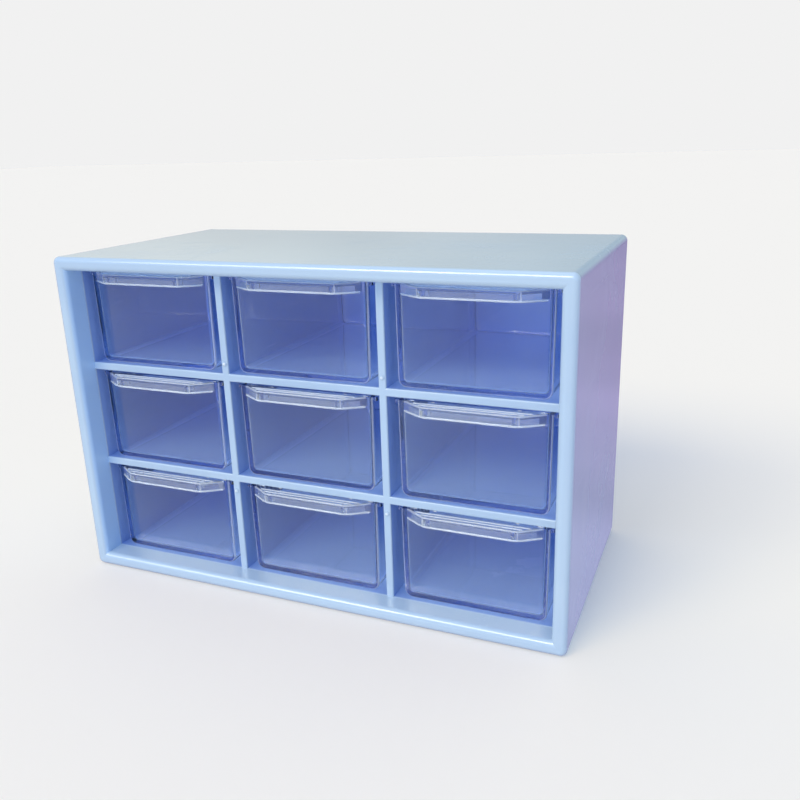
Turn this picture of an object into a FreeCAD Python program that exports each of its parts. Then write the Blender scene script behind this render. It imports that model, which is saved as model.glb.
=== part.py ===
"""Parts organizer: a desk-top case with nine clear drawers, as a parametric FreeCAD document.

The case is an outer shell with a thick rounded front rim, and a cell grid that is pushed into the
shell from behind until it meets the rim and snaps in. Each of the nine cells holds one drawer.
Millimetres. +Z is up, the drawers open towards -Y, and the origin is under the middle of the case.
"""
import FreeCAD, Part
import os
import Sketcher

ROWS = ("bottom", "middle", "top")
COLUMNS = ("left", "centre", "right")

# where Y and Z stand in a point, for picking edges
Y = 1
Z = 2
# two places nearer than this are the same place
CLOSE = 0.01

DRIVING_SIZES = (
    # the case
    ("case_width", 180),
    ("case_depth", 92),
    ("case_height", 117),
    ("rim_width", 4.8),
    ("rim_depth", 8),
    ("shell_wall", 2),
    # its rounded edges, as shares of the rim's width or of the wall's thickness
    ("corner_share", 0.45),
    ("front_share", 3 / 8),
    ("inner_share", 5 / 12),
    ("rear_share", 0.65),
    # the cell grid inside it
    ("divider_width", 2.6),
    ("shelf_thickness", 2.7),
    ("insert_gap", 1),
    ("insert_clearance", 0.15),
    ("back_wall", 2),
    ("back_recess", 0.8),
    ("mouth_round", 0.45),
    ("rib_width", 1.6),
    ("rib_inset", 20),
    ("mark_radius", 0.9),
    ("mark_height", 0.35),
    ("mark_round", 0.3),
    ("mark_offset", 3.4),
    # the snaps that hold the grid in the shell
    ("snap_spacing", 100),
    ("snap_width", 12),
    ("snap_length", 1.6),
    ("snap_height", 0.6),
    ("snap_inset", 2.6),
    ("snap_clearance", 0.2),
    # the drawers
    ("side_clearance", 3),
    ("top_clearance", 1.3),
    ("floor_clearance", 0.15),
    ("drawer_setback", 1.7),
    ("rear_clearance", 1),
    ("drawer_wall", 1.3),
    ("drawer_floor", 1.4),
    ("drawer_draft", 0.4),
    ("drawer_radius", 3),
    ("face_round", 0.6),
    ("inner_round", 1),
    ("lip_reach", 1.3),
    ("lip_thickness", 1.2),
    ("handle_reach", 4.7),
    ("handle_front_width", 30.8),
    ("handle_root_width", 45),
    ("handle_drop", 3.2),
    ("handle_plate", 1.3),
    ("handle_wall", 1.2),
    ("handle_rib", 1),
    ("handle_round", 0.5),
)

doc = FreeCAD.newDocument("parts_organizer")
sheet = doc.addObject("Spreadsheet::Sheet", "sizes")
for row_number, (alias, number) in enumerate(DRIVING_SIZES, start=1):
    sheet.set(f"A{row_number}", alias)
    sheet.set(f"B{row_number}", str(number))
    sheet.setAlias(f"B{row_number}", alias)
doc.recompute()


def formula(text):
    """Turn plain size names into an expression that reads the spreadsheet."""
    words = text.replace("(", " ( ").replace(")", " ) ").split()
    aliases = {alias for alias, number in DRIVING_SIZES}
    return " ".join(f"sizes.{word}" if word in aliases else word for word in words)


# sizes that follow from the driving ones, as expressions
CORNER_RADIUS = "( corner_share * rim_width )"
FRONT_ROUND = "( front_share * rim_width )"
RIM_INNER_ROUND = "( inner_share * rim_width )"
REAR_ROUND = "( rear_share * shell_wall )"
FRONT = "( - case_depth / 2 )"
GRID_FRONT = "( rim_depth - case_depth / 2 )"
GRID_DEPTH = "( case_depth - rim_depth - back_recess )"
GRID_REAR = "( case_depth / 2 - back_recess )"
GRID_WALL = "( rim_width - shell_wall - insert_gap )"
SNAP_MIDDLE = f"( {GRID_REAR} - snap_inset )"
CELL_WIDTH = "( ( case_width - 2 * rim_width - 2 * divider_width ) / 3 )"
CELL_HEIGHT = "( ( case_height - 2 * rim_width - 2 * shelf_thickness ) / 3 )"
CELL_DEPTH = f"( {GRID_DEPTH} - back_wall )"
COLUMN_PITCH = f"( {CELL_WIDTH} + divider_width )"
ROW_PITCH = f"( {CELL_HEIGHT} + shelf_thickness )"
DRAWER_HEIGHT = f"( {CELL_HEIGHT} - top_clearance - floor_clearance )"
DRAWER_LENGTH = f"( {CELL_DEPTH} - drawer_setback - rear_clearance )"
DRAWER_HALF_TOP = f"( {CELL_WIDTH} / 2 - side_clearance )"
DRAWER_HALF_FOOT = f"( {DRAWER_HALF_TOP} - drawer_draft )"
# measured across, a wall on the ledge's slanted side is twice as wide as it is thick
SLANTED_WALL = "( 2 * handle_wall )"


def new_body(label):
    body = doc.addObject("PartDesign::Body", label)
    body.Label = label
    return body


def plane_sketch(body, name, role, offset="0"):
    """A sketch on one of the body's origin planes, moved along that plane's normal."""
    plane = next(p for p in body.Origin.OriginFeatures if p.Role == role)
    sketch = body.newObject("Sketcher::SketchObject", name)
    sketch.AttachmentSupport = [(plane, "")]
    sketch.MapMode = "FlatFace"
    sketch.setExpression("AttachmentOffset.Base.z", formula(offset))
    return sketch


def across_sketch(body, name, depth_position="0"):
    """A sketch that stands across the depth at a Y position; its axes are X and Z."""
    return plane_sketch(body, name, "XZ_Plane", f"- {depth_position}")


def level_sketch(body, name, level):
    """A level sketch at a height Z; its axes are X and Y."""
    return plane_sketch(body, name, "XY_Plane", level)


def pin_point(sketch, line, end, place):
    """Hold one end of a line at two sizes measured from the sketch's origin."""
    for kind, text in zip(("DistanceX", "DistanceY"), place):
        value = float(sketch.evalExpression(formula(text)))
        number = sketch.addConstraint(Sketcher.Constraint(kind, -1, 1, line, end, value))
        sketch.setExpression(f"Constraints[{number}]", formula(text))


def outline(sketch, corners):
    """Draw a closed outline of straight lines through corners given as pairs of formulas."""
    points = []
    for across, up in corners:
        x = float(sketch.evalExpression(formula(across)))
        y = float(sketch.evalExpression(formula(up)))
        points.append(FreeCAD.Vector(x, y, 0))
    first = sketch.GeometryCount
    count = len(points)
    for number in range(count):
        line = Part.LineSegment(points[number], points[(number + 1) % count])
        sketch.addGeometry(line, False)
    for number in range(count):
        following = first + (number + 1) % count
        sketch.addConstraint(Sketcher.Constraint("Coincident", first + number, 2, following, 1))
    for number, corner in enumerate(corners):
        pin_point(sketch, first + number, 1, corner)


def rectangle(sketch, left, right, low, high):
    outline(sketch, ((left, low), (right, low), (right, high), (left, high)))


def add_pad(body, name, sketch, length, reverse=False):
    pad = body.newObject("PartDesign::Pad", name)
    pad.Profile = sketch
    pad.Reversed = reverse
    pad.setExpression("Length", formula(length))
    doc.recompute()
    return pad


def add_pocket(body, name, sketch, length, reverse=False):
    """Cut a pocket, and stop if it cut nothing."""
    volume = body.Shape.Volume
    pocket = body.newObject("PartDesign::Pocket", name)
    pocket.Profile = sketch
    pocket.Reversed = reverse
    pocket.setExpression("Length", formula(length))
    doc.recompute()
    if body.Shape.Volume >= volume:
        raise RuntimeError(f"{body.Label}: {name} cut nothing")
    return pocket


def add_fillet(body, name, radius, wanted):
    """Round the edges of the body's last feature for which wanted(edge) is true."""
    base = body.Tip
    names = [f"Edge{n}" for n, edge in enumerate(base.Shape.Edges, start=1) if wanted(edge)]
    if not names:
        raise RuntimeError(f"{body.Label}: {name} found no edge")
    fillet = body.newObject("PartDesign::Fillet", name)
    fillet.Base = (base, names)
    fillet.setExpression("Radius", formula(radius))
    doc.recompute()
    return fillet


def number_of(text):
    """The value of a formula, for picking edges by where they are."""
    return float(sheet.evalExpression(formula(text)))


def near(first, second):
    return abs(first - second) < CLOSE


def lies_in(edge, axis, position):
    """True if all of an edge lies in the plane where this axis has this position."""
    box = edge.BoundBox
    low = (box.XMin, box.YMin, box.ZMin)[axis]
    high = (box.XMax, box.YMax, box.ZMax)[axis]
    return near(low, position) and near(high, position)


def runs_along(edge, axis):
    """True if an edge is straight and parallel to this axis."""
    box = edge.BoundBox
    lengths = [box.XLength, box.YLength, box.ZLength]
    along = lengths.pop(axis)
    return along > CLOSE and max(lengths) < CLOSE


def build_outer_shell():
    """The outside of the case: a square tube whose front edge is folded in to a thick, round rim."""
    body = new_body("outer_shell")
    outside = across_sketch(body, "outside", FRONT)
    rectangle(outside, "- case_width / 2", "case_width / 2", "0", "case_height")
    add_pad(body, "block", outside, "case_depth", reverse=True)
    half_width = number_of("case_width / 2")
    add_fillet(body, "long_edges", CORNER_RADIUS, lambda edge: runs_along(edge, Y))

    window = across_sketch(body, "window", FRONT)
    rim_sides = ("rim_width - case_width / 2", "case_width / 2 - rim_width")
    rectangle(window, *rim_sides, "rim_width", "case_height - rim_width")
    add_pocket(body, "front_window", window, "case_depth")

    cavity = across_sketch(body, "cavity", "( case_depth / 2 )")
    wall_sides = ("shell_wall - case_width / 2", "case_width / 2 - shell_wall")
    rectangle(cavity, *wall_sides, "shell_wall", "case_height - shell_wall")
    add_pocket(body, "rear_cavity", cavity, "case_depth - rim_depth", reverse=True)

    add_snap_groove(body, "lower_snap_grooves", "shell_wall", downward=True)
    add_snap_groove(body, "upper_snap_grooves", "( case_height - shell_wall )", downward=False)

    front = number_of(FRONT)
    rear = number_of("case_depth / 2")
    window_half = number_of("case_width / 2 - rim_width")
    window_low = number_of("rim_width")
    window_high = number_of("case_height - rim_width")

    def beside_window(edge):
        box = edge.BoundBox
        within = box.XMax < window_half + CLOSE and box.XMin > -window_half - CLOSE
        return within and box.ZMin > window_low - CLOSE and box.ZMax < window_high + CLOSE

    def on_outside(edge):
        box = edge.BoundBox
        sideways = near(box.XMax, half_width) or near(box.XMin, -half_width)
        return sideways or near(box.ZMin, 0) or near(box.ZMax, number_of("case_height"))

    add_fillet(body, "rim_outer_edge", FRONT_ROUND,
               lambda edge: lies_in(edge, Y, front) and on_outside(edge))
    add_fillet(body, "rim_inner_edge", RIM_INNER_ROUND,
               lambda edge: lies_in(edge, Y, front) and beside_window(edge))
    add_fillet(body, "rear_outer_edge", REAR_ROUND,
               lambda edge: lies_in(edge, Y, rear) and on_outside(edge))
    return body


def add_snap_groove(body, name, level, downward):
    """Two blind grooves in the shell's floor or ceiling, which the grid's snap lugs fall into."""
    sketch = level_sketch(body, name + "_outline", level)
    half_width = "( snap_width / 2 + snap_clearance )"
    half_length = "( snap_length / 2 + snap_clearance )"
    for side in ("- snap_spacing / 2", "snap_spacing / 2"):
        rectangle(sketch, f"{side} - {half_width}", f"{side} + {half_width}",
                  f"{SNAP_MIDDLE} - {half_length}", f"{SNAP_MIDDLE} + {half_length}")
    add_pocket(body, name, sketch, "snap_height + snap_clearance", reverse=not downward)


def add_snap_lugs(body, name, level, length, downward):
    """Two lugs that stand out of the top or bottom edge of the grid's back plate."""
    sketch = level_sketch(body, name + "_outline", level)
    for side in ("- snap_spacing / 2", "snap_spacing / 2"):
        rectangle(sketch, f"{side} - snap_width / 2", f"{side} + snap_width / 2",
                  f"{SNAP_MIDDLE} - snap_length / 2", f"{SNAP_MIDDLE} + snap_length / 2")
    add_pad(body, name, sketch, length, reverse=downward)


def build_cell_grid():
    """The insert: nine open cells side by side, with thin outer walls and one closed back plate."""
    body = new_body("cell_grid")
    outer_half = f"( case_width / 2 - rim_width + {GRID_WALL} )"
    low = f"( rim_width - {GRID_WALL} )"
    high = f"( case_height - rim_width + {GRID_WALL} )"
    outside = across_sketch(body, "outside", GRID_FRONT)
    rectangle(outside, f"- {outer_half}", outer_half, low, high)
    add_pad(body, "block", outside, GRID_DEPTH, reverse=True)

    plate_half = "( case_width / 2 - shell_wall - insert_clearance )"
    plate_low = "( shell_wall + insert_clearance )"
    plate_high = "( case_height - shell_wall - insert_clearance )"
    plate = across_sketch(body, "plate", GRID_REAR)
    rectangle(plate, f"- {plate_half}", plate_half, plate_low, plate_high)
    add_pad(body, "back_plate", plate, "back_wall")

    add_spacer_ribs(body, outer_half, plate_half, (plate_low, low, high, plate_high))
    lug_length = "snap_height + insert_clearance + back_wall"
    add_snap_lugs(body, "lower_snap_lugs", f"( {plate_low} + back_wall )", lug_length, True)
    add_snap_lugs(body, "upper_snap_lugs", f"( {plate_high} - back_wall )", lug_length, False)

    cells = across_sketch(body, "left_cells", GRID_FRONT)
    left = "( rim_width - case_width / 2 )"
    for row in range(len(ROWS)):
        floor = f"( rim_width + {row} * {ROW_PITCH} )"
        rectangle(cells, left, f"{left} + {CELL_WIDTH}", floor, f"{floor} + {CELL_HEIGHT}")
    pocket = add_pocket(body, "left_column", cells, CELL_DEPTH)
    columns = body.newObject("PartDesign::LinearPattern", "columns")
    columns.Originals = [pocket]
    columns.Direction = (cells, ["H_Axis"])
    columns.Occurrences = len(COLUMNS)
    columns.setExpression("Length", formula(f"{len(COLUMNS) - 1} * {COLUMN_PITCH}"))
    body.Tip = columns
    doc.recompute()

    front = number_of(GRID_FRONT)
    outer_width = number_of(outer_half)
    outer_low = number_of(low)
    outer_high = number_of(high)

    def round_mouth(edge):
        box = edge.BoundBox
        within = box.XMax < outer_width - CLOSE and box.XMin > CLOSE - outer_width
        return (lies_in(edge, Y, front) and within and box.ZMin > outer_low + CLOSE
                and box.ZMax < outer_high - CLOSE)

    add_fillet(body, "cell_mouths", "mouth_round", round_mouth)
    add_moulding_marks(body)
    return body


def add_spacer_ribs(body, outer_half, plate_half, heights):
    """Long ribs on all four sides of the grid, which centre it inside the shell."""
    plate_low, low, high, plate_high = heights
    ribs = across_sketch(body, "ribs", GRID_FRONT)
    for place in ("rib_inset - case_width / 2", "case_width / 2 - rib_inset"):
        across = (f"{place} - rib_width / 2", f"{place} + rib_width / 2")
        rectangle(ribs, *across, plate_low, low)
        rectangle(ribs, *across, high, plate_high)
    for place in ("rib_inset", "( case_height - rib_inset )"):
        upward = (f"{place} - rib_width / 2", f"{place} + rib_width / 2")
        rectangle(ribs, f"- {plate_half}", f"- {outer_half}", *upward)
        rectangle(ribs, outer_half, plate_half, *upward)
    add_pad(body, "spacer_ribs", ribs, GRID_DEPTH, reverse=True)


def add_moulding_marks(body):
    """Four low domes on the divider fronts, just above the upper shelf and below the lower one."""
    marks = across_sketch(body, "marks", GRID_FRONT)
    across = f"( ( {CELL_WIDTH} + divider_width ) / 2 )"
    upper_shelf = f"( rim_width + 2 * {ROW_PITCH} )"
    lower_shelf = f"( rim_width + {CELL_HEIGHT} )"
    radius = number_of("mark_radius")
    for side in ("- ", ""):
        for height in (f"{upper_shelf} + mark_offset", f"{lower_shelf} - mark_offset"):
            place = (side + across, height)
            middle = FreeCAD.Vector(number_of(place[0]), number_of(place[1]), 0)
            circle = Part.Circle(middle, FreeCAD.Vector(0, 0, 1), radius)
            number = marks.addGeometry(circle, False)
            pin_point(marks, number, 3, place)
            size = marks.addConstraint(Sketcher.Constraint("Radius", number, radius))
            marks.setExpression(f"Constraints[{size}]", formula("mark_radius"))
    add_pad(body, "moulding_marks", marks, "mark_height")
    tip = number_of(f"{GRID_FRONT} - mark_height")
    add_fillet(body, "mark_domes", "mark_round", lambda edge: lies_in(edge, Y, tip))


def build_drawer(row, column):
    """A clear drawer: an open tub with drafted sides, a rim lip and a ledge to pull it by.

    Its own frame has X across, Y from the face to the back, and Z up from the underside.
    """
    body = new_body(f"drawer_{ROWS[row]}_{COLUMNS[column]}")
    section = across_sketch(body, "section")
    outline(section, ((f"- {DRAWER_HALF_FOOT}", "0"), (DRAWER_HALF_FOOT, "0"),
                      (DRAWER_HALF_TOP, DRAWER_HEIGHT), (f"- {DRAWER_HALF_TOP}", DRAWER_HEIGHT)))
    add_pad(body, "block", section, DRAWER_LENGTH, reverse=True)
    height = number_of(DRAWER_HEIGHT)
    length = number_of(DRAWER_LENGTH)
    add_fillet(body, "foot_edges", "drawer_radius",
               lambda edge: runs_along(edge, Y) and lies_in(edge, Z, 0))
    add_fillet(body, "face_edges", "face_round",
               lambda edge: ((lies_in(edge, Y, 0) or lies_in(edge, Y, length))
                             and not lies_in(edge, Z, height)))
    add_rim_lip(body)
    add_hollow(body)
    add_handle(body)
    place_drawer(body, row, column)
    return body


def add_rim_lip(body):
    """A narrow lip that runs out from the top of both sides and the back."""
    lip = level_sketch(body, "lip", DRAWER_HEIGHT)
    reach = f"( {DRAWER_HALF_TOP} + lip_reach )"
    rectangle(lip, f"- {reach}", reach, "face_round", f"{DRAWER_LENGTH}")
    add_pad(body, "rim_lip", lip, "lip_thickness", reverse=True)
    reach_out = number_of(reach)
    add_fillet(body, "lip_corners", "face_round",
               lambda edge: runs_along(edge, Z) and near(abs(edge.CenterOfMass.x), reach_out))


def add_hollow(body):
    """The inside of the tub, open at the top, with the same draft and rounded corners."""
    slope = f"( drawer_draft / {DRAWER_HEIGHT} )"
    foot = f"( {DRAWER_HALF_FOOT} + drawer_floor * {slope} - drawer_wall )"
    top = f"( {DRAWER_HALF_TOP} - drawer_wall )"
    inside = across_sketch(body, "inside", "drawer_wall")
    outline(inside, ((f"- {foot}", "drawer_floor"), (foot, "drawer_floor"),
                     (top, DRAWER_HEIGHT), (f"- {top}", DRAWER_HEIGHT)))
    add_pocket(body, "hollow", inside, f"{DRAWER_LENGTH} - 2 * drawer_wall")
    floor = number_of("drawer_floor")
    foot_half = number_of(foot)
    front = number_of("drawer_wall")
    back = number_of(f"{DRAWER_LENGTH} - drawer_wall")

    def at_side(edge):
        return runs_along(edge, Y) and near(abs(edge.CenterOfMass.x), foot_half)

    def at_end(edge):
        return lies_in(edge, Y, front) or lies_in(edge, Y, back)

    add_fillet(body, "inner_foot_edges", "drawer_radius - drawer_wall",
               lambda edge: lies_in(edge, Z, floor) and at_side(edge))
    height = number_of(DRAWER_HEIGHT)
    add_fillet(body, "inner_end_edges", "inner_round",
               lambda edge: at_end(edge) and not lies_in(edge, Z, height))


def add_handle(body):
    """A ledge level with the drawer's top, tapered in plan, with an edge turned down all round.

    Two ribs under it run from the face out to its front corners.
    """
    front_half = "( handle_front_width / 2 )"
    root_half = "( handle_root_width / 2 )"
    ledge = level_sketch(body, "ledge_outline", DRAWER_HEIGHT)
    outline(ledge, ((f"- {root_half}", "face_round"), (f"- {root_half}", "0"),
                    (f"- {front_half}", "- handle_reach"), (front_half, "- handle_reach"),
                    (root_half, "0"), (root_half, "face_round")))
    add_pad(body, "ledge", ledge, "handle_drop", reverse=True)

    reach_out = number_of("- handle_reach")
    add_fillet(body, "ledge_corners", "inner_round",
               lambda edge: runs_along(edge, Z) and near(edge.CenterOfMass.y, reach_out))

    under = level_sketch(body, "ledge_underside", f"( {DRAWER_HEIGHT} - handle_drop )")
    rib_inner = f"( {front_half} - handle_wall - handle_rib )"
    rib_outer = f"( {front_half} - handle_wall )"
    inner_reach = "( handle_wall - handle_reach )"
    rectangle(under, f"- {rib_inner}", rib_inner, inner_reach, "0")
    slant = f"( ( {root_half} - {front_half} ) / handle_reach )"
    tip = f"( {root_half} - {SLANTED_WALL} )"
    shoulder = f"( {tip} + {slant} * {inner_reach} )"
    for side in ("", "- "):
        outline(under, ((f"{side}{rib_outer}", "0"), (f"{side}{tip}", "0"),
                        (f"{side}{shoulder}", inner_reach), (f"{side}{rib_outer}", inner_reach)))
    add_pocket(body, "ledge_hollow", under, "handle_drop - handle_plate", reverse=True)

    height = number_of(DRAWER_HEIGHT)
    add_fillet(body, "ledge_top_edge", "handle_round",
               lambda edge: lies_in(edge, Z, height) and edge.CenterOfMass.y < -CLOSE)


def place_drawer(body, row, column):
    """Stand the drawer in its own cell, behind the divider fronts."""
    body.setExpression("Placement.Base.x", formula(f"{column - 1} * {COLUMN_PITCH}"))
    body.setExpression("Placement.Base.y", formula(f"{GRID_FRONT} + drawer_setback"))
    floor = f"rim_width + {row} * {ROW_PITCH} + floor_clearance"
    body.setExpression("Placement.Base.z", formula(floor))
    doc.recompute()


def check_document():
    """Stop if any object of the document failed to build."""
    for item in doc.Objects:
        if "Invalid" in item.State or "Error" in item.State:
            raise RuntimeError(f"{item.Label} did not build: {item.State}")


def write_parts(bodies):
    """Write one STEP file for each sub-part, named after it."""
    for body in bodies:
        if body.Shape.isNull() or not body.Shape.isValid():
            raise RuntimeError(f"{body.Label} has no valid shape")
    os.makedirs("parts", exist_ok=True)
    for body in bodies:
        body.Shape.exportStep(f"parts/{body.Label}.step")
        print(f"{body.Label}: {body.Shape.Volume:.0f} cubic mm")


sub_parts = [build_outer_shell(), build_cell_grid()]
for row in range(len(ROWS)):
    for column in range(len(COLUMNS)):
        sub_parts.append(build_drawer(row, column))
doc.recompute()
check_document()
write_parts(sub_parts)
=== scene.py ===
# %% [markdown]
# # A desk-top parts organizer
#
# The object is a small blue plastic case with nine clear drawers. The moulded shapes come from
# the frame, whose meshes follow the CAD to within a tenth of a millimetre, so most of the work
# here is in the plastics: a glossy, slightly uneven blue one, and a clear, brittle one whose edges
# catch the light. The real scale is an estimate. Everything is in metres, in the frame's own
# place: the drawers open towards -Y, and Z is up.

# %% Load the frame
import math

import bpy
from mathutils import Euler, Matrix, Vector


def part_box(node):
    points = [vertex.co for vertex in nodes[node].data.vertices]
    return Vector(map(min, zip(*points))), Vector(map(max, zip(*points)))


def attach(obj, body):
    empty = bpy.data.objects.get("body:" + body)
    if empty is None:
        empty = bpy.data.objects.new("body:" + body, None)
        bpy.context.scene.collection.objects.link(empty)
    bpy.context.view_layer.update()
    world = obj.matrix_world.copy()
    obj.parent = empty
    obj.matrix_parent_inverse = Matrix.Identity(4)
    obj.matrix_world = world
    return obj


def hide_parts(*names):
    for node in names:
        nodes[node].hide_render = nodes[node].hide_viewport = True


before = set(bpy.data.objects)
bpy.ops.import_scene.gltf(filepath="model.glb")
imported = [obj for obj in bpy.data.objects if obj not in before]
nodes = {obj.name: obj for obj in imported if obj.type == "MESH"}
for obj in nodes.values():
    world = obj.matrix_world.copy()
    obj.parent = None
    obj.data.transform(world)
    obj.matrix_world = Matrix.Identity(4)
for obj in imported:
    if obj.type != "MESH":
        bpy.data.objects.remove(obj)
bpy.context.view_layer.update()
scene = bpy.context.scene
MM = 0.001

# %% [markdown]
# ## The camera
#
# The view is from a little above and to the right, close enough that the case's long lines
# converge. A short lens close to a small object gives that strong perspective; a long lens
# further away would flatten it. Depth of field stays off, so that every edge is sharp.

# %% Make the camera
CAMERA_PLACE = Vector((0.12856, -0.25948, 0.15062))
CAMERA_TURN = Euler([math.radians(a) for a in (72.511, 1.692, 22.434)])
LENS = 36.71
SENSOR = 36.0
NEAREST_SEEN = 10 * MM


def make_camera():
    data = bpy.data.cameras.new("camera")
    data.lens = LENS
    data.sensor_width = SENSOR
    data.clip_start = NEAREST_SEEN
    camera = bpy.data.objects.new("camera", data)
    camera.location = CAMERA_PLACE
    camera.rotation_euler = CAMERA_TURN
    scene.collection.objects.link(camera)
    return camera


scene.camera = make_camera()
scene.view_settings.view_transform = "Standard"
print("the camera stands", round(CAMERA_PLACE.length, 3), "m from the case's foot")

# %% [markdown]
# ## Small helpers for node trees
#
# Every finish below is a tree of nodes. A node's input can hold a plain value, or be linked to
# another node's output. These helpers hide that difference, so that the code for a finish reads
# like a recipe: take a noise, stretch it, multiply it by an amount.


# %% Add a node, and feed its inputs
def add_node(tree, kind, **settings):
    """Add a node of this kind and set its properties and its inputs, which are given by name."""
    node = tree.nodes.new(kind)
    for name, value in settings.items():
        if hasattr(node, name):
            setattr(node, name, value)
        else:
            node.inputs[name.replace("_", " ")].default_value = value
    return node


def feed(tree, value, socket):
    """Give an input its value: another node's output, or a plain number or colour."""
    if isinstance(value, bpy.types.NodeSocket):
        tree.links.new(value, socket)
    else:
        socket.default_value = value


print("two helpers: add_node, feed")


# %% Sums, steps and mixes
def compute(tree, operation, *values, clamp=False):
    """One step of arithmetic on numbers or outputs."""
    node = add_node(tree, "ShaderNodeMath", operation=operation, use_clamp=clamp)
    for value, socket in zip(values, node.inputs):
        feed(tree, value, socket)
    return node.outputs[0]


def ramp(tree, value, low, high):
    """A soft step from nought at low to one at high."""
    step = add_node(tree, "ShaderNodeMapRange", interpolation_type="SMOOTHSTEP")
    step.inputs["From Min"].default_value = low
    step.inputs["From Max"].default_value = high
    feed(tree, value, step.inputs["Value"])
    return step.outputs["Result"]


def mix_colours(tree, mask, first, second):
    """A colour mix whose two ends are colours or outputs."""
    mix = add_node(tree, "ShaderNodeMix", data_type="RGBA")
    for value, label in ((mask, "Factor"), (first, "A"), (second, "B")):
        feed(tree, value, mix.inputs[label])
    return mix.outputs["Result"]


def add_scaled(tree, mask, amount, base):
    """base + amount * mask, kept between nought and one."""
    return compute(tree, "MULTIPLY_ADD", mask, amount, base, clamp=True)


print("four helpers: compute, ramp, mix_colours, add_scaled")


# %% Places, directions and noises
def object_place(tree):
    """Where a point lies on the object, in metres."""
    return add_node(tree, "ShaderNodeTexCoord").outputs["Object"]


def facing(tree):
    """Which way the surface points."""
    return add_node(tree, "ShaderNodeNewGeometry").outputs["Normal"]


def axes_of(tree, vector):
    """The X, Y and Z of a place or a direction."""
    axes = add_node(tree, "ShaderNodeSeparateXYZ")
    feed(tree, vector, axes.inputs[0])
    return axes.outputs


def stretched(tree, vector, scale, turn=(0.0, 0.0, 0.0)):
    """A place that is turned and scaled, so that a noise over it comes out stretched."""
    mapping = add_node(tree, "ShaderNodeMapping", Scale=scale, Rotation=turn)
    feed(tree, vector, mapping.inputs["Vector"])
    return mapping.outputs["Vector"]


def add_noise(tree, vector, scale, **settings):
    noise = add_node(tree, "ShaderNodeTexNoise", **settings)
    feed(tree, vector, noise.inputs["Vector"])
    feed(tree, scale, noise.inputs["Scale"])
    return noise.outputs["Fac"]


print("five helpers: object_place, facing, axes_of, stretched, add_noise")

# %% [markdown]
# ## Node groups
#
# A group is an effect that is built once and placed in several materials, each with its own
# values. It has named inputs and outputs, like a small machine with labelled dials.


# %% Start a group, and place one
def new_group(name, inputs, output):
    """A group with number inputs, given as {name: usual value}, and one number output."""
    group = bpy.data.node_groups.new(name, "ShaderNodeTree")
    for label, usual in inputs.items():
        socket = group.interface.new_socket(label, in_out="INPUT", socket_type="NodeSocketFloat")
        socket.default_value = usual
    group.interface.new_socket(output, in_out="OUTPUT", socket_type="NodeSocketFloat")
    dials = group.nodes.new("NodeGroupInput").outputs
    result = group.nodes.new("NodeGroupOutput").inputs[output]
    print("group", name, "takes", list(inputs), "and gives", output)
    return group, dials, result


def place_group(tree, group, **values):
    """Place a group in a material, set its dials by name, and return its output."""
    node = add_node(tree, "ShaderNodeGroup", node_tree=group)
    for name, value in values.items():
        node.inputs[name.replace("_", " ")].default_value = value
    return node.outputs[0]


print("two helpers: new_group, place_group")

# %% [markdown]
# ## The skin of a moulding
#
# Injection moulding leaves its own signs. The skin is glossy but never flat: it waves a little
# where the plastic shrank as it cooled, so that reflections bend, and it has a fine grain. The
# waves could be real geometry, but they are only hundredths of a millimetre deep, so a height for
# a bump is the better way. Two noises make it: a broad one, and a fine one on top.


# %% Waves and grain
def make_moulded_skin():
    group, dials, result = new_group(
        "moulded_skin",
        {"Waves per Metre": 40.0, "Wave Depth": 1.0, "Grain per Metre": 900.0, "Grain Depth": 0.05},
        "Height")
    place = object_place(group)
    waves = add_noise(group, place, dials["Waves per Metre"], Detail=1.0, Roughness=0.4)
    grain = add_noise(group, place, dials["Grain per Metre"], Detail=2.0, Roughness=0.6)
    deep = compute(group, "MULTIPLY", waves, dials["Wave Depth"])
    feed(group, compute(group, "MULTIPLY_ADD", grain, dials["Grain Depth"], deep), result)
    return group


moulded_skin = make_moulded_skin()

# %% [markdown]
# ## Flow streaks
#
# The melt runs through the mould in fronts, and the pigment is never quite even in it. Long, soft,
# slanting streaks of slightly lighter and deeper blue are left. A noise that is squeezed across
# and stretched along the flow gives them.

# %% Make the flow streaks
FLOW_STRETCH = (0.18, 1.0, 0.8)
FLOW_TURN = (0.0, 0.0, math.radians(24))
MIDDLE = 0.5


def make_flow_streaks():
    group, dials, result = new_group(
        "flow_streaks", {"Streaks per Metre": 30.0, "Contrast": 0.3}, "Mask")
    along = stretched(group, object_place(group), FLOW_STRETCH, FLOW_TURN)
    noise = add_noise(group, along, dials["Streaks per Metre"],
                      Detail=3.0, Roughness=0.55, Distortion=0.6)
    centred = compute(group, "SUBTRACT", noise, MIDDLE)
    spread = compute(group, "MULTIPLY_ADD", centred, dials["Contrast"], MIDDLE, clamp=True)
    feed(group, spread, result)
    return group


flow_streaks = make_flow_streaks()

# %% [markdown]
# ## Finger smears
#
# A box that is used every day is touched all over. A smear is a broad patch with a soft edge,
# where the gloss is a little duller. It changes only the roughness, never the colour.

# %% Make the smears
SMEAR_EDGE = (0.46, 0.72)


def make_handling_smears():
    group, dials, result = new_group("handling_smears", {"Patches per Metre": 24.0}, "Mask")
    patches = add_noise(group, object_place(group), dials["Patches per Metre"],
                        Detail=5.0, Roughness=0.65, Distortion=0.4)
    feed(group, ramp(group, patches, *SMEAR_EDGE), result)
    return group


handling_smears = make_handling_smears()

# %% [markdown]
# ## Hairline scratches
#
# Fine scratches run mostly the way that things are slid: along the depth on the top and the
# sides, and across on what faces the front. Each layer is a noise stretched into hairs and cut
# off high, so that few hairs are left. How much a surface faces the front chooses the layer, so
# that a hair always lies in its surface and doesn't show as a dot.

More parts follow.
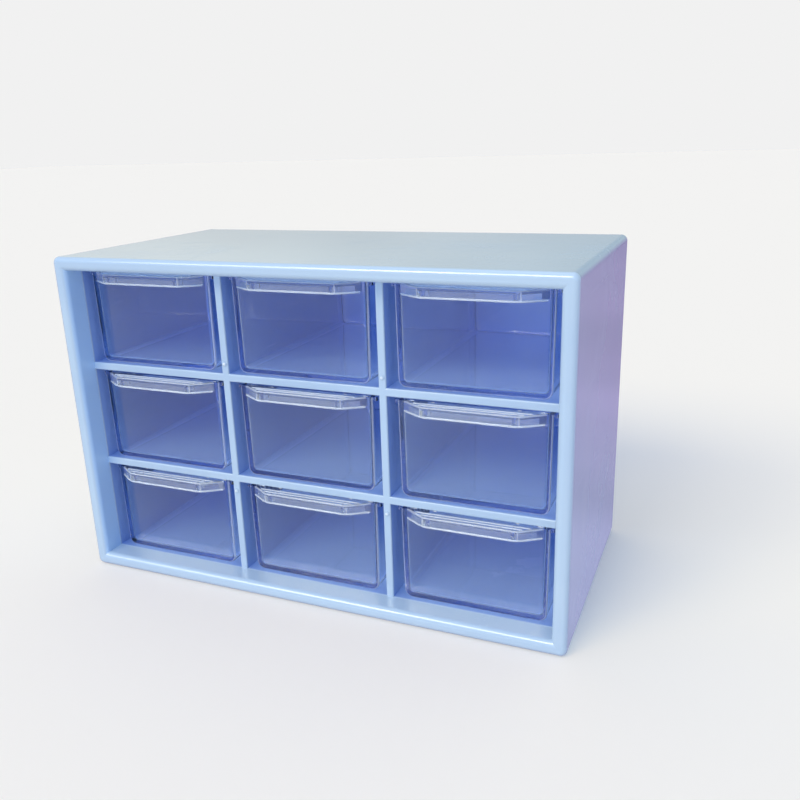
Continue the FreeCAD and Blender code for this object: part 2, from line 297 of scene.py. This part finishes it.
# %% Make the hairlines
HAIR_LAYERS = (
    # how the noise is stretched, and how it is turned
    ((1.0, 0.03, 1.0), (0.12, 0.0, 0.2)),
    ((0.03, 1.0, 1.0), (0.0, 0.25, 0.0)),
)
HAIR_EDGE = (0.70, 0.78)


def make_hairlines():
    group, dials, result = new_group("hairlines", {"Hairs per Metre": 700.0}, "Mask")
    place = object_place(group)
    layers = []
    for stretch, turn in HAIR_LAYERS:
        along = stretched(group, place, stretch, turn)
        hairs = add_noise(group, along, dials["Hairs per Metre"], Detail=1.0)
        layers.append(ramp(group, hairs, *HAIR_EDGE))
    frontward = compute(group, "ABSOLUTE", axes_of(group, facing(group))["Y"])
    choice = add_node(group, "ShaderNodeMix", data_type="FLOAT")
    for value, label in zip((frontward, *layers), ("Factor", "A", "B")):
        feed(group, value, choice.inputs[label])
    feed(group, choice.outputs["Result"], result)
    return group


hairlines = make_hairlines()

# %% [markdown]
# ## Dust
#
# Dust settles only on what faces up, in specks rather than as an even film. The upward part of
# the surface's direction gives the first, and a fine noise gives the second.

# %% Make the dust
DUST_LIES_ON = (0.5, 0.95)
DUST_SPECK_EDGE = (0.55, 0.75)


def make_dust_on_top():
    group, dials, result = new_group(
        "dust_on_top", {"Amount": 0.3, "Specks per Metre": 1600.0}, "Mask")
    upward = ramp(group, axes_of(group, facing(group))["Z"], *DUST_LIES_ON)
    specks = add_noise(group, object_place(group), dials["Specks per Metre"],
                       Detail=4.0, Roughness=0.7)
    lying = compute(group, "MULTIPLY", upward, ramp(group, specks, *DUST_SPECK_EDGE))
    feed(group, compute(group, "MULTIPLY", lying, dials["Amount"], clamp=True), result)
    return group


dust_on_top = make_dust_on_top()

# %% [markdown]
# ## Edges, with a painted highlight
#
# Coloured plastic looks paler along an edge, where light passes through the corner. Here that light
# is
# painted: the mask below lightens the colour along every edge, a painted highlight. A bevel node
# looks round each point within a radius and gives the direction of a surface that is rounded off
# by that much. Where that direction differs from the true one, there is an edge.


# %% Make the edge mask
def make_edge_mask():
    group, dials, result = new_group("edge_mask", {"Radius": 0.8 * MM, "Sharpness": 6.0}, "Mask")
    rounded = add_node(group, "ShaderNodeBevel", samples=4)
    feed(group, dials["Radius"], rounded.inputs["Radius"])
    agree = add_node(group, "ShaderNodeVectorMath", operation="DOT_PRODUCT")
    feed(group, rounded.outputs["Normal"], agree.inputs[0])
    feed(group, facing(group), agree.inputs[1])
    turned = compute(group, "SUBTRACT", 1.0, agree.outputs["Value"])
    feed(group, compute(group, "MULTIPLY", turned, dials["Sharpness"], clamp=True), result)
    return group


edge_mask = make_edge_mask()

# %% [markdown]
# ## The case plastic
#
# The case is moulded in a pale blue plastic that lets some light through: its walls are only two
# millimetres thick, so the cells inside are lit blue by what comes through the top and the sides.
# A full simulation of light inside the plastic would be slow and noisy. It is enough to let the
# light from the lamps pass each surface with a blue tint, which is what the Is Shadow Ray mix
# does. The tint deepens with every wall that the light has passed, just as in the real plastic.

# %% Colours of the case plastic
CASE_PALE = (0.50, 0.64, 0.78, 1)
CASE_DEEP = (0.41, 0.555, 0.75, 1)
# Painted shade: the grid's colours are the case's made a little darker, for its recessed place.
SHADED_GRID_PALE = (0.46, 0.60, 0.76, 1)
SHADED_GRID_DEEP = (0.38, 0.52, 0.73, 1)
CASE_DUST = (0.72, 0.76, 0.80, 1)
CASE_TINT = (0.51, 0.64, 0.84, 1)
print("the case is between", CASE_DEEP[:3], "and", CASE_PALE[:3])


# %% Let the lamps' light through
def tint_shadow(tree, shader, tint):
    """Mix in a transparent shader for shadow rays only, so that light passes with this tint."""
    path = add_node(tree, "ShaderNodeLightPath")
    through = add_node(tree, "ShaderNodeBsdfTransparent", Color=tint)
    both = add_node(tree, "ShaderNodeMixShader")
    for value, socket in zip((path.outputs["Is Shadow Ray"], shader.outputs[0],
                              through.outputs[0]), both.inputs):
        feed(tree, value, socket)
    feed(tree, both.outputs[0], tree.nodes["Material Output"].inputs["Surface"])


print("lamp light turns", CASE_TINT[:3], "at each surface of the case")

# %% [markdown]
# ## Where the cells begin
#
# The painted shade in the cells depends on how deep a place lies behind the grid's front. That
# front isn't typed in: it is worked out from where the frame has put the drawers, whose ledges
# reach out in front of their faces, and whose faces stand a little behind the grid's front.

# %% Find the drawers' faces and the grid's front
DRAWERS = sorted(name for name in nodes if name.startswith("drawer"))
LEDGE_REACH = 4.7 * MM
SETBACK = 1.7 * MM
FACE_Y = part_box(DRAWERS[0])[0].y + LEDGE_REACH
GRID_FRONT_Y = FACE_Y - SETBACK
print("the drawers' faces stand at", round(FACE_Y / MM, 2), "mm")

# %% [markdown]
# ## Painted shade and light on the case
#
# Light comes into the cells only through blue walls and past the drawers, so the code paints
# their insides a deeper blue, and deepest at the mouths, where the clear drawers throw their
# shade: painted shade. The wall just inside the rim on the left is lit through from outside, so
# it gets a painted glow of purer blue. Each painted tone is a mask from the place, and from the
# direction where that is needed, so it stays right from every side.

# %% The painted shade and glow
# Painted shade: deeper blues inside the cells, deepest at their mouths.
CELL_SHADE_BLUE = (0.37, 0.535, 0.88, 1)
MOUTH_SHADE_BLUE = (0.25, 0.39, 0.76, 1)
# Painted glow: a brighter, purer blue for the wall just inside the rim, lit through from outside.
RECESS_GLOW_BLUE = (0.46, 0.69, 1.0, 1)
FRONT_BAND = (0.1 * MM, 1.0 * MM)
MOUTH_SHADE_BAND = (2 * MM, 10 * MM)
BACK_BAND = (45.0 * MM, 43.4 * MM)
RECESS_FACES = (0.4, 0.95)
RECESS_SIDE = (0.0, -10 * MM)


def add_painted_cell_shade(tree, colour):
    """Painted shade: deeper blue in the cells, deepest at the mouths, with the front edges and the
    back as they were.
    """
    depth = axes_of(tree, object_place(tree))["Y"]
    behind_front = ramp(tree, depth, *(GRID_FRONT_Y + edge for edge in FRONT_BAND))
    before_back = ramp(tree, depth, *BACK_BAND)
    behind_mouth = ramp(tree, depth, *(GRID_FRONT_Y + edge for edge in MOUTH_SHADE_BAND))
    cell = mix_colours(tree, behind_mouth, MOUTH_SHADE_BLUE, CELL_SHADE_BLUE)
    inside = compute(tree, "MULTIPLY", behind_front, before_back)
    return mix_colours(tree, inside, colour, cell)


def add_painted_recess_glow(tree, colour):
    """Painted light: a brighter, purer blue on what faces right in the left half, the wall just
    inside the rim, for the light that comes through the rim.
    """
    faces_right = ramp(tree, axes_of(tree, facing(tree))["X"], *RECESS_FACES)
    in_left_half = ramp(tree, axes_of(tree, object_place(tree))["X"], *RECESS_SIDE)
    wall = compute(tree, "MULTIPLY", faces_right, in_left_half)
    return mix_colours(tree, wall, colour, RECESS_GLOW_BLUE)


print("the mouths' blue fades between", [round(edge / MM, 1) for edge in MOUTH_SHADE_BAND], "mm in")

# %% [markdown]
# ## The case material
#
# A glossy Principled shader with a clear coat gives the polished skin. The groups are placed one
# after another: streaks in the plastic, a painted highlight along the edges, dust on top, then
# the painted light and shade of the place, a painted glow on the case and painted shade in the
# cells. The gloss is dulled by smears, hairlines and dust.

# %% Make the case material
COAT = 0.9
COAT_ROUGHNESS = 0.1
PLASTIC_IOR = 1.5
CASE_ROUGHNESS = 0.18
SMEAR_DULLS, HAIRS_DULL, DUST_DULLS = 0.1, 0.05, 0.4


def make_case_plastic(name, deep, pale, add_painted_light):
    material = bpy.data.materials.new(name)
    material.use_nodes = True
    tree = material.node_tree
    shader = tree.nodes["Principled BSDF"]
    shader.inputs["IOR"].default_value = PLASTIC_IOR
    shader.inputs["Coat Weight"].default_value = COAT
    shader.inputs["Coat Roughness"].default_value = COAT_ROUGHNESS
    streaks = place_group(tree, flow_streaks, Streaks_per_Metre=26.0, Contrast=1.6)
    # Painted highlight: the edge mask lightens the base colour along every edge.
    edge = place_group(tree, edge_mask, Radius=1.2 * MM, Sharpness=4.0)
    dust = place_group(tree, dust_on_top, Amount=0.2)
    body = mix_colours(tree, streaks, deep, pale)
    with_edge_highlight = mix_colours(tree, edge, body, pale)
    dusty = mix_colours(tree, dust, with_edge_highlight, CASE_DUST)
    feed(tree, add_painted_light(tree, dusty), shader.inputs["Base Color"])
    smeared = add_scaled(tree, place_group(tree, handling_smears), SMEAR_DULLS, CASE_ROUGHNESS)
    scratched = add_scaled(tree, place_group(tree, hairlines), HAIRS_DULL, smeared)
    feed(tree, add_scaled(tree, dust, DUST_DULLS, scratched), shader.inputs["Roughness"])
    skin = place_group(tree, moulded_skin,
                       Waves_per_Metre=34.0, Wave_Depth=1.0, Grain_Depth=0.004)
    bump = add_node(tree, "ShaderNodeBump", Strength=0.25, Distance=0.6 * MM)
    feed(tree, skin, bump.inputs["Height"])
    feed(tree, bump.outputs["Normal"], shader.inputs["Normal"])
    tint_shadow(tree, shader, CASE_TINT)
    return material


case_plastic = make_case_plastic("glossy_blue_case_plastic", CASE_DEEP, CASE_PALE,
                                 add_painted_recess_glow)
# The grid gets the darker, shaded copy of the case plastic, with painted shade in its cells.
shaded_cell_plastic = make_case_plastic("blue_cell_plastic_painted_shade", SHADED_GRID_DEEP, SHADED_GRID_PALE, add_painted_cell_shade)
print("made", case_plastic.name, "and", shaded_cell_plastic.name)

# %% Put it on the two CAD pieces of the case
for name, plastic in (("outer_shell", case_plastic), ("cell_grid", shaded_cell_plastic)):
    nodes[name].material_slots[0].link = "OBJECT"
    nodes[name].material_slots[0].material = plastic
    print(name, "is made of", plastic.name)

# %% [markdown]
# ## The clear plastic
#
# The drawers are clear, brittle plastic. A refracting shader with an index near polystyrene's
# gives the bright and dark lines along the thick edges, as light is bent and trapped there. A
# renderer stops following light after some bounces, and a trapped ray that is cut off turns
# black, so it has to be allowed many more bounces than usual.

# %% Let light bounce inside the clear walls
BOUNCES = {
    "max_bounces": 32,
    "glossy_bounces": 28,
    "transmission_bounces": 20,
    "transparent_max_bounces": 32,
    "diffuse_bounces": 5,
}
for kind, count in BOUNCES.items():
    setattr(scene.cycles, kind, count)
print("light may bounce", scene.cycles.max_bounces, "times")

# %% [markdown]
# ## Three grades of clear
#
# The flats are polished. The ledge is a little hazy, and its whiter haze is partly painted
# reflection: it stands in for the reflections in the folded ledge. The rounded edges and the beads
# are milkier still, and their whitish scatter is a painted highlight for the glints along them.
# So there are three materials from one recipe, which differ in how much light they let through
# and how rough they are. What doesn't go through is scattered, as in slightly milky plastic.

# %% Make the clear plastics
CLEAR_TINT = (0.955, 0.97, 1.0, 1)
CLEAR_SHADOW = (0.80, 0.84, 0.92, 1)
LEDGE_TINT = (0.90, 0.95, 1.0, 1)
CLEAR_IOR = 1.57
CLEAR_SMEARS, CLEAR_HAIRS = 0.03, 0.1


def make_clear_plastic(name, colour, clearness, roughness):
    material = bpy.data.materials.new(name)
    material.use_nodes = True
    tree = material.node_tree
    shader = tree.nodes["Principled BSDF"]
    shader.inputs["Base Color"].default_value = colour
    shader.inputs["IOR"].default_value = CLEAR_IOR
    shader.inputs["Transmission Weight"].default_value = clearness
    smears = place_group(tree, handling_smears, Patches_per_Metre=40.0)
    smeared = add_scaled(tree, smears, CLEAR_SMEARS, roughness)
    scratched = add_scaled(tree, place_group(tree, hairlines), CLEAR_HAIRS, smeared)
    feed(tree, scratched, shader.inputs["Roughness"])
    skin = place_group(tree, moulded_skin,
                       Waves_per_Metre=60.0, Wave_Depth=1.0, Grain_Depth=0.01)
    bump = add_node(tree, "ShaderNodeBump", Strength=0.15, Distance=0.4 * MM)
    feed(tree, skin, bump.inputs["Height"])
    feed(tree, bump.outputs["Normal"], shader.inputs["Normal"])
    tint_shadow(tree, shader, CLEAR_SHADOW)
    print(name, "lets", clearness, "of the light through")
    return material


clear_plastic = make_clear_plastic("clear_drawer_plastic", CLEAR_TINT, 1.0, 0.015)
# The ledge's slight haze is partly real and partly painted reflection.
ledge_plastic = make_clear_plastic("hazy_ledge_plastic", LEDGE_TINT, 0.93, 0.05)
# Painted highlight: the milky edge plastic's whitish scatter stands in for glints along rounded
# edges and beads.
edge_highlight_plastic = make_clear_plastic("milky_edge_highlight_plastic", LEDGE_TINT, 0.70, 0.16)

# %% [markdown]
# ## The drawers
#
# A drawer is one moulding, but it doesn't look the same all over. Each drawer here is a copy of
# the CAD shape whose faces are sorted into the three clear plastics by where they are and which
# way they point. A copy stands in for each CAD node, which stays as it was. It rides the drawer's
# own body, so it comes out with the drawer.

# %% Sort a drawer's faces
EDGE_DEPTH = 0.65 * MM
LEDGE_START = 0.05 * MM
FLAT = 0.985
SLANTED_SIDE_AREA = 2 * MM * MM
CLEAR, LEDGE, EDGE = range(3)


def face_plastic(polygon):
    """The grade of clear plastic for a face."""
    depth = polygon.center.y
    rounded = max(abs(part) for part in polygon.normal) < FLAT
    slanted_side = polygon.area > SLANTED_SIDE_AREA and depth < FACE_Y
    if rounded and not slanted_side and depth < FACE_Y + EDGE_DEPTH:
        return EDGE
    return LEDGE if depth < FACE_Y - LEDGE_START else CLEAR


def finish_drawer(name):
    mesh = nodes[name].data.copy()
    mesh.name = name + "_moulding"
    mesh.materials.clear()
    for plastic in (clear_plastic, ledge_plastic, edge_highlight_plastic):
        mesh.materials.append(plastic)
    counts = [0, 0, 0]
    for polygon in mesh.polygons:
        polygon.material_index = face_plastic(polygon)
        counts[polygon.material_index] += 1
    moulding = bpy.data.objects.new(name + "_moulding", mesh)
    scene.collection.objects.link(moulding)
    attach(moulding, name)
    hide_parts(name)
    return counts


for name in DRAWERS:
    print(name, "has", finish_drawer(name), "clear, ledge and edge faces")

# %% [markdown]
# ## The grip beads
#
# The ledge would be slippery if it were smooth. Two low beads run along its top for the
# fingertip, and a third runs round its lower edge, where it also stiffens it. A bead is a round
# bar along a line, so a curve with a bevel is enough; most of it lies inside the ledge.

# %% Sizes of the ledge and its beads
BEAD_RADIUS = 0.34 * MM
BEAD_SINK = 0.12 * MM
BEAD_ROWS = (1.5 * MM, 3.0 * MM)
BEAD_MARGIN = 1.5 * MM
BEAD_CORNER = 1.0 * MM
BEAD_START = 0.3 * MM
LEDGE_FRONT_HALF = 15.4 * MM
LEDGE_ROOT_HALF = 22.5 * MM
LEDGE_DROP = 3.2 * MM


def ledge_half(reach):
    """Half the ledge's width at this distance in front of the drawer's face."""
    share = reach / LEDGE_REACH
    return LEDGE_ROOT_HALF + (LEDGE_FRONT_HALF - LEDGE_ROOT_HALF) * share


print("the ledge is", round(2 * ledge_half(LEDGE_REACH) / MM, 1), "mm wide at its front")


# %% Make the beads
def add_path(curve, points):
    spline = curve.splines.new("POLY")
    spline.points.add(len(points) - 1)
    for point, place in zip(spline.points, points):
        point.co = (*place, 1)


def lower_edge():
    """The bead's way round the ledge's lower edge, as (across, reach), from left to right."""
    before_corner = LEDGE_REACH - BEAD_CORNER
    right = [(LEDGE_FRONT_HALF - BEAD_CORNER, LEDGE_REACH),
             (ledge_half(before_corner), before_corner),
             (ledge_half(BEAD_START), BEAD_START)]
    return [(-across, reach) for across, reach in reversed(right)] + right


def make_beads(name):
    low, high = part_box(name)
    middle = (low.x + high.x) / 2
    curve = bpy.data.curves.new(name + "_grip_beads", "CURVE")
    curve.dimensions = "3D"
    curve.bevel_depth = BEAD_RADIUS
    curve.bevel_resolution = 3
    curve.use_fill_caps = True
    for reach in BEAD_ROWS:
        half = ledge_half(reach) - BEAD_MARGIN
        add_path(curve, [(middle + side * half, FACE_Y - reach, high.z - BEAD_SINK)
                         for side in (-1, 1)])
    add_path(curve, [(middle + across, FACE_Y - reach, high.z - LEDGE_DROP)
                     for across, reach in lower_edge()])
    # The beads are in the milky edge plastic: a painted highlight along them.
    curve.materials.append(edge_highlight_plastic)
    beads = bpy.data.objects.new(name + "_grip_beads", curve)
    scene.collection.objects.link(beads)
    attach(beads, name)
    return beads


for name in DRAWERS:
    make_beads(name)
print(len(DRAWERS), "drawers have grip beads")

# %% [markdown]
# ## The gate scars
#
# Plastic enters the mould through small gates. Where a gate was twisted off, a little nub is left.
# The grid has four, each on top of a low dome on a divider's front. They are coloured whitish: a
# painted highlight for the small glints on them. Their places are worked out from where the frame
# has put the drawers beside them.

# %% Find the domes on the dividers
DOME_OFFSET = 3.4 * MM
FLOOR_GAP = 0.15 * MM
TOP_GAP = 1.3 * MM


def scar_places():
    """The middles of the domes: on both dividers, over the upper and under the lower shelf."""
    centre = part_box("drawer_middle_centre")
    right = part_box("drawer_middle_right")
    pitch = (right[0].x + right[1].x - centre[0].x - centre[1].x) / 2
    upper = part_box("drawer_top_centre")[0].z - FLOOR_GAP + DOME_OFFSET
    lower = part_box("drawer_bottom_centre")[1].z + TOP_GAP - DOME_OFFSET
    return [(side * pitch / 2, height) for side in (-1, 1) for height in (upper, lower)]


print("gate scars at", [(round(x / MM, 1), round(z / MM, 1)) for x, z in scar_places()])

# %% [markdown]
# ## The painted highlight of a scar
#
# The scar's whitish colour is a painted highlight, uneven over the nub. The same skin group serves
# here, with much finer waves: they drive the colour and the gloss as well as the height.

# %% Make the scars' plastic
# Painted highlight: the whitish colour stands in for the scars' glints.
SCAR_HIGHLIGHT_PALE = (0.86, 0.91, 0.97, 1)
SCAR_ROUGHNESS, SCAR_UNEVEN = 0.12, 0.2


def make_scar_highlight_plastic():
    material = bpy.data.materials.new("pale_scar_highlight_plastic")
    material.use_nodes = True
    tree = material.node_tree
    shader = tree.nodes["Principled BSDF"]
    skin = place_group(tree, moulded_skin, Waves_per_Metre=900.0, Grain_Depth=0.3)
    feed(tree, mix_colours(tree, skin, CASE_PALE, SCAR_HIGHLIGHT_PALE), shader.inputs["Base Color"])
    uneven = add_scaled(tree, skin, SCAR_UNEVEN, SCAR_ROUGHNESS)
    feed(tree, uneven, shader.inputs["Roughness"])
    bump = add_node(tree, "ShaderNodeBump", Strength=0.4, Distance=0.1 * MM)
    feed(tree, skin, bump.inputs["Height"])
    feed(tree, bump.outputs["Normal"], shader.inputs["Normal"])
    return material


scar_highlight_plastic = make_scar_highlight_plastic()
print("made", scar_highlight_plastic.name)

# %% [markdown]
# ## The shape of a scar
#
# Each scar is a dome turned from rings, like a lathe's work: the rings shrink towards the tip as
# a quarter circle does. Its foot is sunk a little into the dome below it, so that no gap shows.

# %% Turn one scar
SCAR_RADIUS = 0.5 * MM
SCAR_HEIGHT = 0.3 * MM
DOME_HEIGHT = 0.35 * MM
FOOT_SINK = 0.08 * MM
FOOT_Y = GRID_FRONT_Y - DOME_HEIGHT + FOOT_SINK
RINGS, TURNS = 5, 14


def scar_corners(x, z):
    """The corners of one scar, ring by ring, with the tip last."""
    corners = []
    rise = SCAR_HEIGHT + FOOT_SINK
    for ring in range(RINGS):
        angle = math.pi / 2 * ring / RINGS
        radius = SCAR_RADIUS * math.cos(angle)
        y = FOOT_Y - rise * math.sin(angle)
        for turn in range(TURNS):
            way = 2 * math.pi * turn / TURNS
            corners.append((x + radius * math.cos(way), y, z + radius * math.sin(way)))
    return corners + [(x, FOOT_Y - SCAR_HEIGHT - FOOT_SINK, z)]


def scar_faces(first):
    """The faces of one scar whose corners start at this number: sides, tip and foot."""
    faces = []
    for ring in range(RINGS - 1):
        for turn in range(TURNS):
            here = first + ring * TURNS + turn
            beside = first + ring * TURNS + (turn + 1) % TURNS
            faces.append((here, beside, beside + TURNS, here + TURNS))
    last = first + (RINGS - 1) * TURNS
    tip = last + TURNS
    faces.extend((last + turn, last + (turn + 1) % TURNS, tip) for turn in range(TURNS))
    faces.append(tuple(first + turn for turn in reversed(range(TURNS))))
    return faces


print("a scar has", len(scar_corners(0, 0)), "corners and", len(scar_faces(0)), "faces")


# %% Make the four scars in one mesh
def make_gate_scars():
    corners, faces = [], []
    for x, z in scar_places():
        faces += scar_faces(len(corners))
        corners += scar_corners(x, z)
    mesh = bpy.data.meshes.new("gate_scars")
    mesh.from_pydata(corners, [], faces)
    mesh.shade_smooth()
    mesh.materials.append(scar_highlight_plastic)
    scars = bpy.data.objects.new("gate_scars", mesh)
    scene.collection.objects.link(scars)
    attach(scars, "case")
    return scars


gate_scars = make_gate_scars()
print("the scars have", len(gate_scars.data.polygons), "faces")

# %% [markdown]
# ## The studio's walls
#
# A glossy box shows its surroundings as much as its own colour. Its top is seen at a grazing
# angle, so it mirrors what is behind and above it, and its side mirrors what is behind and below.
# A world whose colour changes smoothly with direction is the plainest way to control that: pale
# above and behind, dim and a little violet below and in front. One soft glow low in front stands
# for the bright part of a room, and shows in the clear drawers of the middle row.

# %% Colours of the studio
BACKGROUND = (0.88, 0.88, 0.88, 1)
ABOVE_LEFT = (0.74, 0.77, 0.70, 1)
ABOVE_RIGHT = (0.42, 0.50, 0.52, 1)
ABOVE_FRONT = (0.46, 0.60, 0.92, 1)
HORIZON_BEHIND = (0.34, 0.24, 0.46, 1)
BELOW_BEHIND = (0.35, 0.34, 0.56, 1)
BELOW_FRONT = (0.38, 0.40, 0.47, 1)
GLOW = (0.92, 1.15, 1.25, 1)
GLOW_WAY = (-0.36, -0.86, -0.35)
print("the glow shines from", GLOW_WAY)

# %% Choose a colour by direction
TO_THE_BACK = (-0.6, 0.6)
TO_THE_RIGHT = (-0.7, 0.0)
OVER_HORIZON = (-0.1, 0.14)
UNDER_HORIZON = (-0.2, -0.5)
GLOW_EDGE = (0.22, 0.04)


def colour_of_room(tree, way):
    """The room's colour in this direction."""
    axes = axes_of(tree, way)
    backward = ramp(tree, axes["Y"], *TO_THE_BACK)
    rightward = ramp(tree, axes["X"], *TO_THE_RIGHT)
    upward = ramp(tree, axes["Z"], *OVER_HORIZON)
    downward = ramp(tree, axes["Z"], *UNDER_HORIZON)
    behind = mix_colours(tree, rightward, ABOVE_LEFT, ABOVE_RIGHT)
    above = mix_colours(tree, backward, ABOVE_FRONT, behind)
    lower = mix_colours(tree, downward, HORIZON_BEHIND, BELOW_BEHIND)
    from_glow = add_node(tree, "ShaderNodeVectorMath", operation="DISTANCE")
    feed(tree, way, from_glow.inputs[0])
    feed(tree, GLOW_WAY, from_glow.inputs[1])
    nearby = ramp(tree, from_glow.outputs["Value"], *GLOW_EDGE)
    front = mix_colours(tree, nearby, BELOW_FRONT, GLOW)
    below = mix_colours(tree, backward, front, lower)
    return mix_colours(tree, upward, below, above)


print("the room's colour turns over the horizon between", OVER_HORIZON)

# %% [markdown]
# ## Brighter and dimmer patches
#
# A perfectly even room makes gloss look dead. A noise, flattened into wide clouds, makes the
# reflected room a fifth brighter or dimmer from place to place. What the camera sees directly is
# a plain background instead: the Is Camera Ray mix keeps the two apart.

# %% Make the world
CLOUD_SHAPE = (1.0, 1.0, 5.0)
CLOUD_SCALE = 2.6
CLOUD_RANGE = {"From Min": 0.3, "From Max": 0.7, "To Min": 0.78, "To Max": 1.22}


def strength_of_room(tree, way):
    """How bright the room is in this direction, about one on average."""
    flattened = stretched(tree, way, CLOUD_SHAPE)
    clouds = add_noise(tree, flattened, CLOUD_SCALE, Detail=2.0, Roughness=0.5)
    strength = add_node(tree, "ShaderNodeMapRange")
    for label, value in CLOUD_RANGE.items():
        strength.inputs[label].default_value = value
    feed(tree, clouds, strength.inputs["Value"])
    return strength.outputs["Result"]


def make_world():
    world = bpy.data.worlds.new("studio")
    scene.world = world
    world.use_nodes = True
    tree = world.node_tree
    tree.nodes.clear()
    way = add_node(tree, "ShaderNodeTexCoord").outputs["Generated"]
    lit = add_node(tree, "ShaderNodeBackground")
    feed(tree, colour_of_room(tree, way), lit.inputs["Color"])
    feed(tree, strength_of_room(tree, way), lit.inputs["Strength"])
    shown = add_node(tree, "ShaderNodeBackground", Color=BACKGROUND)
    path = add_node(tree, "ShaderNodeLightPath")
    both = add_node(tree, "ShaderNodeMixShader")
    for value, socket in zip((path.outputs["Is Camera Ray"], lit.outputs[0], shown.outputs[0]),
                             both.inputs):
        feed(tree, value, socket)
    output = add_node(tree, "ShaderNodeOutputWorld")
    feed(tree, both.outputs[0], output.inputs["Surface"])
    return world


print("made the world", make_world().name)

# %% [markdown]
# ## The floor
#
# The floor is a plain, matt, slightly warm sheet, which the cool light turns neutral. It lies a
# hair below the case, so that the two surfaces don't fight for the same place. Gloss doesn't see
# it: the case's side would otherwise mirror a bright sheet in place of the dim lower room.

# %% Make the floor
FLOOR_HALF = 8.0
FLOOR_DROP = 0.2 * MM
FLOOR_COLOUR = (0.96, 0.88, 0.80, 1)


def make_floor():
    ends = [(-1, -1), (1, -1), (1, 1), (-1, 1)]
    mesh = bpy.data.meshes.new("floor")
    mesh.from_pydata([(x * FLOOR_HALF, y * FLOOR_HALF, 0) for x, y in ends], [], [(0, 1, 2, 3)])
    floor = bpy.data.objects.new("floor", mesh)
    floor.location.z = -FLOOR_DROP
    floor.visible_glossy = False
    scene.collection.objects.link(floor)
    material = bpy.data.materials.new("pale_floor")
    material.use_nodes = True
    shader = material.node_tree.nodes["Principled BSDF"]
    shader.inputs["Base Color"].default_value = FLOOR_COLOUR
    shader.inputs["Roughness"].default_value = 1.0
    shader.inputs["Specular IOR Level"].default_value = 0.0
    mesh.materials.append(material)
    return floor


print("the floor lies at", round(make_floor().location.z / MM, 2), "mm")

# %% [markdown]
# ## The lamps
#
# Three soft boxes stand side by side in front, and one wide one hangs overhead. Each is a sun
# with a large angle, the simplest lamp that is soft and very far away: it lights the floor
# evenly, so that the floor meets the background without a line. The front boxes are warm and the
# world is cool, as daylight with a lamp on is.


# %% Make the lamps
def make_soft_box(name, shines_from, strength, spread, colour):
    """A far soft box as wide as this many degrees, shining from this direction."""
    data = bpy.data.lights.new(name, "SUN")
    data.energy = strength
    data.angle = math.radians(spread)
    data.color = colour
    lamp = bpy.data.objects.new(name, data)
    lamp.rotation_euler = Vector(shines_from).to_track_quat("Z", "Y").to_euler()
    scene.collection.objects.link(lamp)
    print(name, "has strength", strength)


FRONT_BOXES = {"left": -0.52, "middle": -0.27, "right": -0.02}
FRONT_STRENGTH, FRONT_SPREAD = 0.62, 26
OVERHEAD_STRENGTH, OVERHEAD_SPREAD = 0.3, 60
WARM = (1.0, 0.94, 0.76)
COOL = (0.98, 1.0, 1.0)
for side, across in FRONT_BOXES.items():
    make_soft_box(f"front_{side}_soft_box", (across, -0.72, 0.6),
                  FRONT_STRENGTH, FRONT_SPREAD, WARM)
make_soft_box("overhead_soft_box", (0.1, 0.2, 1.0), OVERHEAD_STRENGTH, OVERHEAD_SPREAD, COOL)
